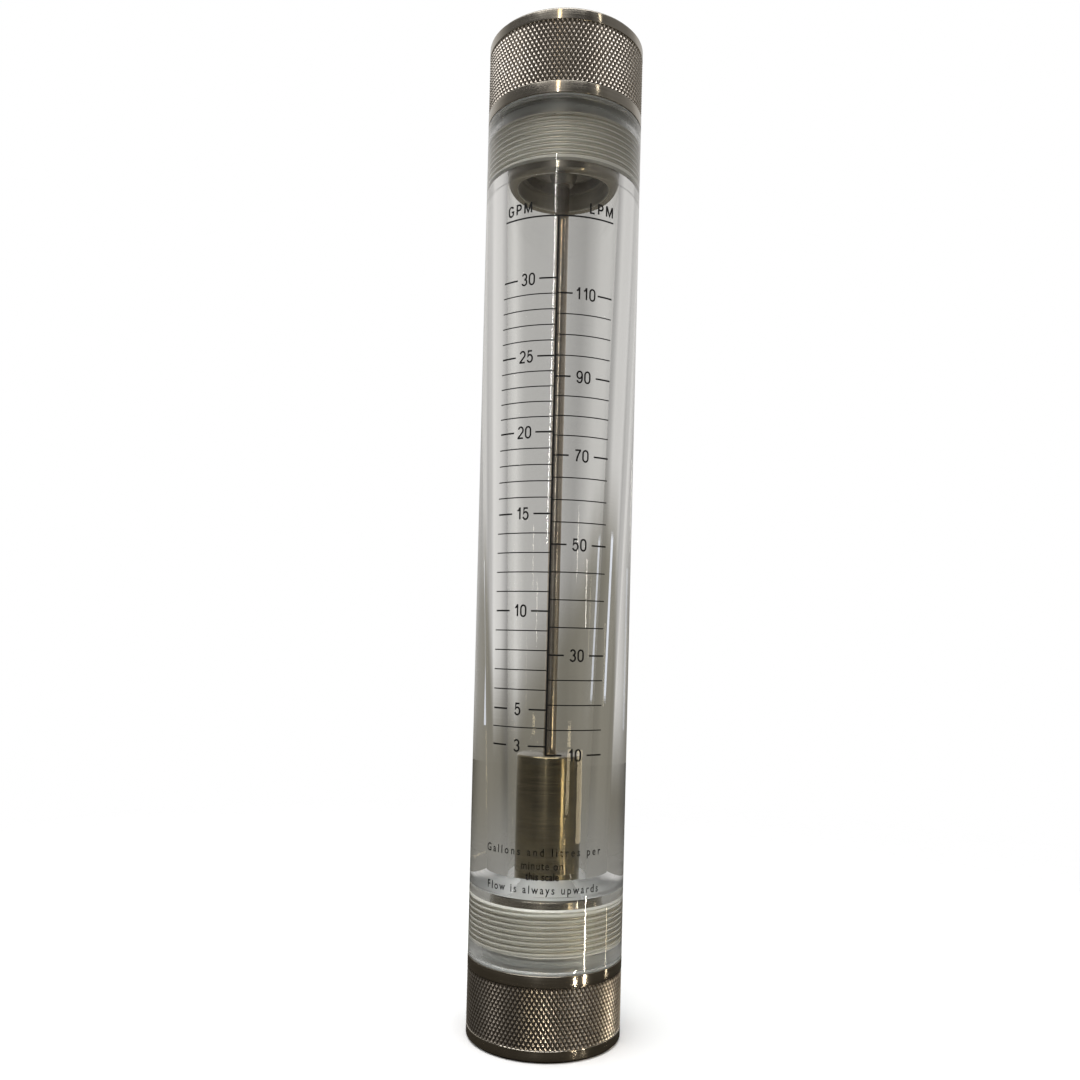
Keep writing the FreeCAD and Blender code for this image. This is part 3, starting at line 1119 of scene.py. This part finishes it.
@dataclass(frozen=True)
class StrokeFace:
    """Lettering drawn with a pen of constant width, as the figures of an engraved scale are."""

    height: float
    weight: float                # width of the pen
    gap: float                   # between two letters
    step: float = 0.5            # longest straight run, so that the letters follow the tube
    mitre_limit: float = 1.5     # how far a sharp corner may stand out, in half pen widths
    mitre_guard: float = 0.3     # keeps the mitre of a stroke that doubles back finite

    def path(self, stroke: Stroke, reach: float) -> list[tuple[float, float]]:
        """Follows one pen stroke.

        Args:
            stroke: The stroke, in shares of the letter's height.
            reach: The height that the pen's middle covers.

        Returns:
            Points of the pen's middle, in millimetres, with long runs divided.
        """
        corners: list[tuple[float, float]] = []
        for part in stroke:
            corners.extend(part.points() if isinstance(part, Arc) else [part])
        made = [(corners[0][0] * reach, corners[0][1] * reach)]
        for x, y in corners[1:]:
            before = made[-1]
            across, up = x * reach - before[0], y * reach - before[1]
            if math.hypot(across, up) < SAME_POINT:
                continue
            runs = max(1, math.ceil(abs(across) / self.step))
            made.extend((before[0] + across * run / runs, before[1] + up * run / runs)
                        for run in range(1, runs + 1))
        return made

    def ribbon(self, path: list[tuple[float, float]]) -> tuple[Outline, Outline]:
        """Finds the two edges of a pen stroke.

        Args:
            path: Points of the pen's middle.

        Returns:
            The stroke's left and right edges.
        """
        closed = math.dist(path[0], path[-1]) < SAME_POINT
        left, right = [], []
        for index, (x, y) in enumerate(path):
            before = path[index - 1] if index else (path[-2] if closed else None)
            after = path[index + 1] if index + 1 < len(path) else (path[1] if closed else None)
            ways = []
            for start, end in ((before, (x, y)), ((x, y), after)):
                if start is not None and end is not None:
                    ways.append((Vector(end) - Vector(start)).normalized())
            way = sum(ways, Vector((0, 0))).normalized()
            mitre = min(self.mitre_limit, 1 / max(self.mitre_guard, way.dot(ways[0])))
            side = Vector((-way.y, way.x)) * self.weight / 2 * mitre
            left.append((x + side.x, y + side.y))
            right.append((x - side.x, y - side.y))
        return left, right

    def write(self, skin: Skin, text: str, angle: float, middle: float, face: float, ink: float) -> None:
        """Adds a word as thin closed strokes wrapped on the tube.

        Args:
            skin: The print's skin.
            text: The word.
            angle: Angle of the word's middle.
            middle: Height of its middle.
            face: Radius of the printed face.
            ink: The ink's thickness.
        """
        reach = self.height - self.weight
        widths = [GLYPHS[letter][0] * reach + self.weight + self.gap for letter in text]
        left_edge = -(sum(widths) - self.gap) / 2
        for letter, width in zip(text, widths):
            for stroke in GLYPHS[letter][1]:
                edges = self.ribbon(self.path(stroke, reach))
                rims = []
                for radius, side in ((face, 0), (face, 1), (face - ink, 1), (face - ink, 0), (face, 0)):
                    rims.append([
                        ring_point(radius, angle + (left_edge + self.weight / 2 + x) / face,
                                   middle - reach / 2 + y)
                        for x, y in edges[side]])
                skin.bands(rims, 0)
                if math.dist(rims[0][0], rims[0][-1]) > CLOSED_GAP:
                    for end in (0, -1):
                        skin.face([rim[end] for rim in rims[:4]], 0)
            left_edge += width


@dataclass(frozen=True)
class Column:
    """One column of the scale: where its strokes and figures stand, as angles from the front."""

    outer_start: float
    outer_end: float
    inner_start: float
    inner_end: float
    minor_start: float
    minor_end: float
    marks: tuple[tuple[int, float, int], ...]   # figure, height, and fine strokes up to the next mark


@dataclass
class PrintedScale:
    """Two-column flow scale, unit names and four rows of small print, wrapped on the tube's front."""

    finishes: Finishes
    ink: float = 0.018
    play: float = 0.005          # the printed face lies this far inside the frame's radius
    rule: float = -0.0475        # angle of the upright line between the columns
    rule_width: float = 0.66
    header: float = 308.1
    header_width: float = 0.6
    header_start: float = -0.77
    header_end: float = 0.68
    major_width: float = 0.6
    minor_width: float = 0.4
    figures: StrokeFace = StrokeFace(height=4.7, weight=0.62, gap=0.45)
    units: StrokeFace = StrokeFace(height=4.2, weight=0.66, gap=1.0)
    unit_rise: float = 1.5       # from the header line to the units' foot
    gallons_unit: float = -0.557
    litres_unit: float = 0.505
    note_height: float = 2.9
    note_narrowing: float = 0.8
    gallons: Column = Column(
        -0.77, -0.56, -0.27, -0.06, -0.78, -0.06,
        ((3, 114.5, 1), (5, 127.8, 4), (10, 163.7, 4), (15, 199.2, 4), (20, 229.0, 4), (25, 256.8, 4),
         (30, 285.3, 0)))
    litres: Column = Column(
        0.47, 0.68, -0.05, 0.145, -0.05, 0.675,
        ((10, 111.5, 3), (30, 147.8, 3), (50, 188.1, 3), (70, 220.6, 3), (90, 249.4, 3),
         (110, 279.8, 0)))
    notes: tuple[tuple[str, float, float, float], ...] = (
        ("Gallons and litres per", 76.3, -0.78, 0.66),
        ("minute on", 71.4, -0.32, 0.20),
        ("this scale", 67.5, -0.26, 0.15),
        ("Flow is always upwards", 62.7, -0.78, 0.66))

    def __post_init__(self) -> None:
        """Finds the radius of the printed face: just inside the frame's own radius."""
        self.face = Span.of("metering_tube").radius - self.play

    def stroke(self, skin: Skin, start: float, end: float, low: float, high: float) -> None:
        """Adds one printed bar, a thin closed slab bent round the tube.

        Args:
            skin: The print's skin.
            start: Angle where the bar starts.
            end: Angle where it ends.
            low: Height of its lower edge.
            high: Height of its upper edge.
        """
        steps = max(1, math.ceil((end - start) / (TURN / FACETS)))
        angles = [start + (end - start) * step / steps for step in range(steps + 1)]
        outside, inside = self.face, self.face - self.ink
        loop = [(outside, low), (outside, high), (inside, high), (inside, low), (outside, low)]
        skin.bands([[ring_point(radius, angle, height) for angle in angles]
                    for radius, height in loop], 0)
        for angle in (start, end):
            skin.face([ring_point(radius, angle, height) for radius, height in loop[:4]], 0)

    def build_strokes(self) -> bpy.types.Object:
        """Makes every line of the scale.

        Returns:
            The lines as one piece.
        """
        skin = Skin()
        half = self.rule_width / 2
        lean = half / self.face
        lowest = self.litres.marks[0][1] - self.major_width / 2
        self.stroke(skin, self.rule - lean, self.rule + lean, lowest, self.header - half)
        self.stroke(skin, self.header_start, self.header_end,
                    self.header - self.header_width / 2, self.header + self.header_width / 2)
        for column in (self.gallons, self.litres):
            for (_, height, fine), above in zip(column.marks, column.marks[1:] + ((0, 0.0, 0),)):
                low, high = height - self.major_width / 2, height + self.major_width / 2
                self.stroke(skin, column.outer_start, column.outer_end, low, high)
                self.stroke(skin, column.inner_start, column.inner_end, low, high)
                for step in range(1, fine + 1):
                    middle = height + (above[1] - height) * step / (fine + 1)
                    self.stroke(skin, column.minor_start, column.minor_end,
                                middle - self.minor_width / 2, middle + self.minor_width / 2)
        made = skin.piece("scale_strokes", [self.finishes.ink])
        seat(made, "meter", None)
        return made

    def note(self, text: str, start: float, end: float, base: float) -> bmesh.types.BMesh:
        """Shapes one row of small print, widely spaced, and wraps it on the tube.

        Args:
            text: The letters.
            start: Angle where the row starts.
            end: Angle where it ends.
            base: Height of the row's foot.

        Returns:
            The letters as thin closed solids.
        """
        sample = self.flat_letters("0", 1.0)
        scale = self.note_height / max(vertex.co.y for vertex in sample.verts)
        sample.free()
        across = scale * self.note_narrowing
        close = self.flat_letters(text, 1.0)
        reach = [vertex.co.x for vertex in close.verts]
        close.free()
        letters = self.flat_letters(text, (end - start) * self.face / across / (max(reach) - min(reach)))
        reach = [vertex.co.x for vertex in letters.verts]
        middle = (max(reach) + min(reach)) / 2
        for vertex in letters.verts:
            vertex.co.x = (vertex.co.x - middle) * across
            vertex.co.y *= scale
        self.slice_upright(letters, across * (max(reach) - min(reach)))
        for vertex in letters.verts:
            angle = (start + end) / 2 + vertex.co.x / self.face
            vertex.co = Vector(ring_point(self.face, angle, base + vertex.co.y)) * MM
        bmesh.ops.recalc_face_normals(letters, faces=letters.faces)
        self.thicken(letters)
        return letters

    @staticmethod
    def flat_letters(text: str, spacing: float, spread: float = 0.012) -> bmesh.types.BMesh:
        """Makes a row of letters as flat faces, with its foot at y = 0.

        Args:
            text: The letters.
            spacing: Space between letters, as a share of the usual.
            spread: How far screen ink spreads past each letter's edge, as a share of the letters' size.

        Returns:
            The faces, in the typeface's own units.
        """
        curve = bpy.data.curves.new("letters", "FONT")
        curve.body = text
        curve.resolution_u = 4
        curve.space_character = spacing
        curve.offset = spread
        holder = bpy.data.objects.new("letters", curve)
        bpy.context.scene.collection.objects.link(holder)
        bpy.context.view_layer.update()
        mesh = bpy.data.meshes.new_from_object(holder.evaluated_get(bpy.context.evaluated_depsgraph_get()))
        bpy.data.objects.remove(holder)
        letters = bmesh.new()
        letters.from_mesh(mesh)
        bpy.data.meshes.remove(mesh)
        return letters

    @staticmethod
    def slice_upright(letters: bmesh.types.BMesh, width: float, step: float = 0.8) -> None:
        """Cuts flat letters by upright lines, so that their faces can follow the tube.

        Args:
            letters: Flat letters, in millimetres, centred on x = 0.
            width: Their whole width.
            step: Distance between cuts.
        """
        cuts = int(width / step)
        for cut in range(-cuts // 2, cuts // 2 + 1):
            geometry = letters.verts[:] + letters.edges[:] + letters.faces[:]
            bmesh.ops.bisect_plane(letters, geom=geometry, plane_co=(cut * step, 0, 0),
                                   plane_no=(1, 0, 0))

    def thicken(self, letters: bmesh.types.BMesh) -> None:
        """Gives wrapped letters the ink's thickness, towards the tube's axis.

        Args:
            letters: The letters, which are changed.
        """
        for face in letters.faces:
            outward = Vector((face.calc_center_median().x, face.calc_center_median().y, 0))
            if face.normal.dot(outward) < 0:
                face.normal_flip()
        outer = letters.faces[:]
        copied = bmesh.ops.duplicate(letters, geom=letters.verts[:] + letters.edges[:] + outer)
        inner = [item for item in copied["geom"] if isinstance(item, bmesh.types.BMFace)]
        inner_points = {vertex for face in inner for vertex in face.verts}
        share = 1 - self.ink / self.face
        for vertex in inner_points:
            vertex.co.x *= share
            vertex.co.y *= share
        partner = {old: new for old, new in copied["vert_map"].items() if old not in inner_points}
        for edge in [edge for face in outer for edge in face.edges if edge.is_boundary]:
            start, end = edge.verts
            letters.faces.new((end, start, partner[start], partner[end]))
        for face in inner:
            face.normal_flip()

    def lettering_piece(self, name: str, lines: list[bmesh.types.BMesh]) -> bpy.types.Object:
        """Joins lines of letters into one printed piece.

        Args:
            name: The piece's name.
            lines: The lines' meshes, which are used up.

        Returns:
            The piece.
        """
        mesh = bpy.data.meshes.new(name)
        whole = bmesh.new()
        for line in lines:
            line.to_mesh(mesh)
            whole.from_mesh(mesh)
            line.free()
        whole.to_mesh(mesh)
        whole.free()
        mesh.materials.append(self.finishes.ink)
        made = bpy.data.objects.new(name, mesh)
        bpy.context.scene.collection.objects.link(made)
        seat(made, "meter", None)
        return made

    def build_lettering(self) -> list[bpy.types.Object]:
        """Makes the figures, the unit names and the rows of small print.

        Returns:
            The three pieces.
        """
        figures = Skin()
        for column in (self.gallons, self.litres):
            gap = sorted((column.outer_start, column.outer_end, column.inner_start, column.inner_end))
            middle = (gap[1] + gap[2]) / 2
            for figure, height, _ in column.marks:
                self.figures.write(figures, str(figure), middle, height, self.face, self.ink)
        units = Skin()
        middle = self.header + self.unit_rise + self.units.height / 2
        self.units.write(units, "GPM", self.gallons_unit, middle, self.face, self.ink)
        self.units.write(units, "LPM", self.litres_unit, middle, self.face, self.ink)
        made = [figures.piece("scale_figures", [self.finishes.ink]),
                units.piece("scale_units", [self.finishes.ink])]
        for piece in made:
            seat(piece, "meter", None)
        notes = [self.note(text, start, end, height - self.note_height / 2)
                 for text, height, start, end in self.notes]
        return [*made, self.lettering_piece("scale_notes", notes)]


# ------------------------------------------------------------------------------------ studio

def area_lamp(name: str, width: float, height: float) -> bpy.types.Object:
    """Makes an area lamp that the camera doesn't see.

    Args:
        name: The lamp's name.
        width: Its width.
        height: Its height.

    Returns:
        The lamp's object, unplaced and of no set power.
    """
    lamp = bpy.data.lights.new(name, "AREA")
    lamp.shape = "RECTANGLE"
    lamp.size = width * MM
    lamp.size_y = height * MM
    made = bpy.data.objects.new(name, lamp)
    bpy.context.scene.collection.objects.link(made)
    made.visible_camera = False
    return made


@dataclass(frozen=True)
class StripLight:
    """Tall narrow softbox. Azimuth 0 is in front of the meter and grows towards +X."""

    name: str
    azimuth_deg: float
    low: float
    high: float
    width: float
    radiance: float
    colour: str = "#FFFFFF"
    distance: float = 1100.0
    mirrored_only: bool = False   # lights only what mirrors it, and leaves no pool on the floor

    def build(self) -> bpy.types.Object:
        """Makes the lamp, facing the meter's axis.

        Returns:
            The lamp's object.
        """
        made = area_lamp(self.name, self.width, self.high - self.low)
        made.data.energy = self.radiance * math.pi * made.data.size * made.data.size_y
        made.data.color = linear(self.colour)[:3]
        azimuth = math.radians(self.azimuth_deg)
        made.location = Vector(ring_point(self.distance, azimuth, (self.low + self.high) / 2)) * MM
        facing = Vector((made.location.x, made.location.y, 0))
        made.rotation_mode = "QUATERNION"
        made.rotation_quaternion = facing.to_track_quat("Z", "Y")
        made.visible_diffuse = not self.mirrored_only
        return made


@dataclass(frozen=True)
class Wall:
    """Brightness of the room in one direction, above and below the bench's edge."""

    azimuth_deg: float
    above: float
    below: float


@dataclass
class Studio:
    """Pale floor, ceiling softbox, strip lamps, the grey room that glass and steel see, and the camera."""

    strips: tuple[StripLight, ...] = (
        StripLight("front_strip", -10.8, 290.0, 850.0, 13.0, 32.0, "#FFFBF4"),
        StripLight("crown_front_lamp", -11.0, 935.0, 1250.0, 80.0, 9.0, "#FFDFA8"),
        StripLight("crown_side_lamp", 48.5, 935.0, 1250.0, 40.0, 9.0, "#FFF6E4"),
        StripLight("right_lamp", 48.5, 170.0, 270.0, 30.0, 12.0, "#FFF8EC"),
        StripLight("window_light", 140.0, 25.0, 260.0, 150.0, 0.7, "#E4ECFF", mirrored_only=True),
        StripLight("far_lamp", 82.5, 60.0, 180.0, 40.0, 2.0, "#FFF1D6"),
        StripLight("low_lamp", 52.7, 1.0, 38.0, 3.5, 60.0, "#FFF3DC", 115.0, True),
        StripLight("low_side_lamp", 89.7, 1.0, 30.0, 2.5, 12.0, "#FFF1D6", 115.0, True),
        StripLight("float_lamp", 41.9, 45.0, 95.0, 24.0, 5.5, "#FFEBC0", 200.0, True),
        StripLight("heel_lamp", 39.8, 1.0, 5.0, 7.0, 90.0, "#FFF3DC", 115.0, True),
    )
    walls: tuple[Wall, ...] = (
        Wall(-180, 0.50, 0.22), Wall(-166, 0.55, 0.22), Wall(-156, 0.80, 0.21), Wall(-130, 0.68, 0.20),
        Wall(-112, 0.40, 0.12), Wall(-95, 0.20, 0.11), Wall(-60, 0.12, 0.12), Wall(-40, 0.10, 0.05),
        Wall(-28, 0.20, 0.04), Wall(-18, 0.42, 0.04), Wall(-6, 0.46, 0.04), Wall(3, 0.22, 0.045),
        Wall(12, 0.09, 0.055), Wall(34, 0.10, 0.11), Wall(42, 0.25, 0.32), Wall(56, 0.22, 0.28),
        Wall(66, 0.26, 0.42), Wall(76, 0.26, 0.17), Wall(100, 0.30, 0.18), Wall(118, 0.42, 0.20),
        Wall(130, 0.66, 0.24), Wall(164, 0.66, 0.23), Wall(173, 0.42, 0.21), Wall(180, 0.50, 0.22),
    )
    wall_tint: str = "#FFFDFA"
    bench_tint: str = "#FFF8E4"
    bench_left: float = -0.1     # the bench's edge on the left, as the sine of its elevation
    bench_right: float = 0.08
    bench_turn: float = 0.4      # how far either side of the middle the edge goes on rising
    blur_behind: float = 0.06    # softness of the bench's edge behind the meter
    blur_in_front: float = 0.34
    ambient: float = 0.45
    ambient_tint: str = "#F4F5F6"
    ceiling_energy: float = 26.0
    ceiling_size: float = 1400.0
    ceiling_place: tuple[float, float, float] = (-200.0, -300.0, 1500.0)
    floor_radius: float = 900.0
    floor_facets: int = 64
    floor_fade_start: float = 120.0
    floor_fade_end: float = 600.0
    floor_colour: str = "#FAFAFA"
    floor_mirrored: str = "#433F38"      # as steel mirrors it
    floor_through: str = "#858480"       # as it shows through acrylic
    camera_distance: float = 396.02
    camera_height: float = 153.31
    camera_turn: float = 0.01242
    camera_tilt: float = 0.01161
    camera_roll: float = 0.02461
    lens_mm: float = 33.64
    lens_rise: float = 0.0814

    def build_camera(self) -> bpy.types.Object:
        """Makes the camera: close in front of the meter and nearly level, with the lens raised a little.

        Returns:
            The camera's object.
        """
        lens = bpy.data.cameras.new("camera")
        lens.sensor_width = 36.0
        lens.lens = self.lens_mm
        lens.shift_y = self.lens_rise
        lens.clip_start = 0.01
        lens.clip_end = 50.0
        made = bpy.data.objects.new("camera", lens)
        bpy.context.scene.collection.objects.link(made)
        aim = (Matrix.Rotation(self.camera_turn, 4, "Z")
               @ Matrix.Rotation(math.pi / 2 + self.camera_tilt, 4, "X")
               @ Matrix.Rotation(self.camera_roll, 4, "Z"))
        place = Vector((0, -self.camera_distance, self.camera_height)) * MM
        made.matrix_world = Matrix.Translation(place) @ aim
        bpy.context.scene.camera = made
        return made

    def room(self, tree: bpy.types.NodeTree) -> bpy.types.NodeSocket:
        """Builds the room that glass and steel see: soft grey walls over a darker bench.

        Args:
            tree: The world's node tree.

        Returns:
            The room's colour in the direction looked at.
        """
        way = add_node(tree, "ShaderNodeTexCoord").outputs["Generated"]
        axes = add_node(tree, "ShaderNodeSeparateXYZ", {0: way}).outputs
        front = add_node(tree, "ShaderNodeMath", {0: axes["Y"], 1: -1.0}, operation="MULTIPLY").outputs[0]
        azimuth = add_node(tree, "ShaderNodeMath", {0: axes["X"], 1: front},
                           operation="ARCTAN2").outputs[0]
        share = add_node(tree, "ShaderNodeMapRange", {
            "Value": azimuth, "From Min": -math.pi, "From Max": math.pi,
        }).outputs[0]
        turned = [self.walls[0], self.walls[-1], *self.walls[1:-1]]
        above, below = [
            add_node(tree, "ShaderNodeValToRGB", {"Fac": share}, stops=[
                (wall.azimuth_deg / 360 + 0.5, tinted(level, tint))
                for wall, level in zip(turned, levels)
            ]).outputs[0]
            for levels, tint in (([wall.above for wall in turned], self.wall_tint),
                                 ([wall.below for wall in turned], self.bench_tint))]
        horizon = add_node(tree, "ShaderNodeMapRange", {
            "Value": axes["X"], "From Min": -self.bench_turn, "From Max": self.bench_turn,
            "To Min": self.bench_left, "To Max": self.bench_right,
        }).outputs[0]
        blur = add_node(tree, "ShaderNodeMapRange", {
            "Value": front, "From Min": -0.5, "From Max": 0.6,
            "To Min": self.blur_behind, "To Max": self.blur_in_front,
        }).outputs[0]
        lowest = add_node(tree, "ShaderNodeMath", {0: horizon, 1: blur}, operation="SUBTRACT").outputs[0]
        highest = add_node(tree, "ShaderNodeMath", {0: horizon, 1: blur}).outputs[0]
        rise = add_node(tree, "ShaderNodeMapRange", {
            "Value": axes["Z"], "From Min": lowest, "From Max": highest,
        }, interpolation_type="SMOOTHSTEP").outputs[0]
        return add_node(tree, "ShaderNodeMix", {"Factor": rise, "A": below, "B": above},
                        data_type="RGBA").outputs["Result"]

    def build_world(self) -> None:
        """Makes the world. The camera sees plain white, and glass and steel see the room."""
        world = bpy.data.worlds.new("studio")
        bpy.context.scene.world = world
        world.use_nodes = True
        tree = world.node_tree
        tree.nodes.clear()
        seen_room = add_node(tree, "ShaderNodeBackground", {"Color": self.room(tree)}).outputs[0]
        even = add_node(tree, "ShaderNodeBackground", {
            "Color": linear(self.ambient_tint), "Strength": self.ambient,
        }).outputs[0]
        white = add_node(tree, "ShaderNodeBackground", {"Color": linear("#FFFFFF")}).outputs[0]
        path = add_node(tree, "ShaderNodeLightPath").outputs
        mirrored = add_node(tree, "ShaderNodeMath", {
            0: path["Is Glossy Ray"], 1: path["Is Transmission Ray"],
        }, operation="MAXIMUM").outputs[0]
        other = add_node(tree, "ShaderNodeMixShader", {0: mirrored, 1: even, 2: seen_room}).outputs[0]
        shown = add_node(tree, "ShaderNodeMixShader", {0: path["Is Camera Ray"], 1: other, 2: white})
        add_node(tree, "ShaderNodeOutputWorld", {"Surface": shown.outputs[0]})

    def build_floor(self) -> bpy.types.Object:
        """Makes a round pale floor that fades out to the white background and keeps the meter's shadow.

        Returns:
            The floor's object.
        """
        skin = Skin(self.floor_facets)
        skin.turn([(0.0, 0.0), (self.floor_radius / 3, 0.0), (self.floor_radius, 0.0)])
        material, tree = new_material("studio_floor_painted")
        place = add_node(tree, "ShaderNodeTexCoord").outputs["Object"]
        reach = add_node(tree, "ShaderNodeVectorMath", {0: place}, operation="LENGTH").outputs["Value"]
        fade = add_node(tree, "ShaderNodeMapRange", {
            "Value": reach, "From Min": self.floor_fade_start * MM, "From Max": self.floor_fade_end * MM,
        }, interpolation_type="SMOOTHSTEP").outputs[0]
        path = add_node(tree, "ShaderNodeLightPath").outputs
        bench = add_node(tree, "ShaderNodeMix", {
            "Factor": path["Is Transmission Ray"],
            "A": linear(self.floor_mirrored), "B": linear(self.floor_through),
        }, data_type="RGBA").outputs["Result"]
        colour = add_node(tree, "ShaderNodeMix", {
            "Factor": path["Is Camera Ray"], "A": bench, "B": linear(self.floor_colour),
        }, data_type="RGBA").outputs["Result"]
        paint = add_node(tree, "ShaderNodeBsdfDiffuse", {"Color": colour}).outputs[0]
        gone = add_node(tree, "ShaderNodeBsdfTransparent").outputs[0]
        looked = add_node(tree, "ShaderNodeMath", {
            0: path["Is Camera Ray"], 1: path["Is Transmission Ray"],
        }, operation="MAXIMUM").outputs[0]
        share = add_node(tree, "ShaderNodeMath", {0: fade, 1: looked}, operation="MULTIPLY").outputs[0]
        surface = add_node(tree, "ShaderNodeMixShader", {0: share, 1: paint, 2: gone})
        add_node(tree, "ShaderNodeOutputMaterial", {"Surface": surface.outputs[0]})
        made = skin.piece("studio_floor", [material])
        return made

    def build(self) -> None:
        """Makes the whole studio."""
        bpy.context.scene.view_settings.view_transform = "Standard"
        self.build_camera()
        self.build_world()
        self.build_floor()
        for strip in self.strips:
            strip.build()
        ceiling = area_lamp("ceiling_softbox", self.ceiling_size, self.ceiling_size)
        ceiling.data.energy = self.ceiling_energy
        ceiling.location = [part * MM for part in self.ceiling_place]
        log.info("studio: %d strip lights and a ceiling softbox", len(self.strips))


# ------------------------------------------------------------------------------------ the whole meter

def main() -> None:
    """Builds the meter's pieces in order, then the studio."""
    logging.basicConfig(level=logging.INFO, format="%(message)s")
    finishes = Finishes()
    Studio().build()
    fitting = EndFitting(finishes)
    seal = SealRing(finishes)
    for end in End:
        fitting.build(end)
        seal.build(end)
    MeteringTube(finishes).build()
    inner = FloatAndRod(finishes)
    inner.build_rod()
    inner.build_float()
    inner.dress_frame_pieces()
    scale = PrintedScale(finishes)
    scale.build_strokes()
    scale.build_lettering()


if __name__ == "__main__":
    main()
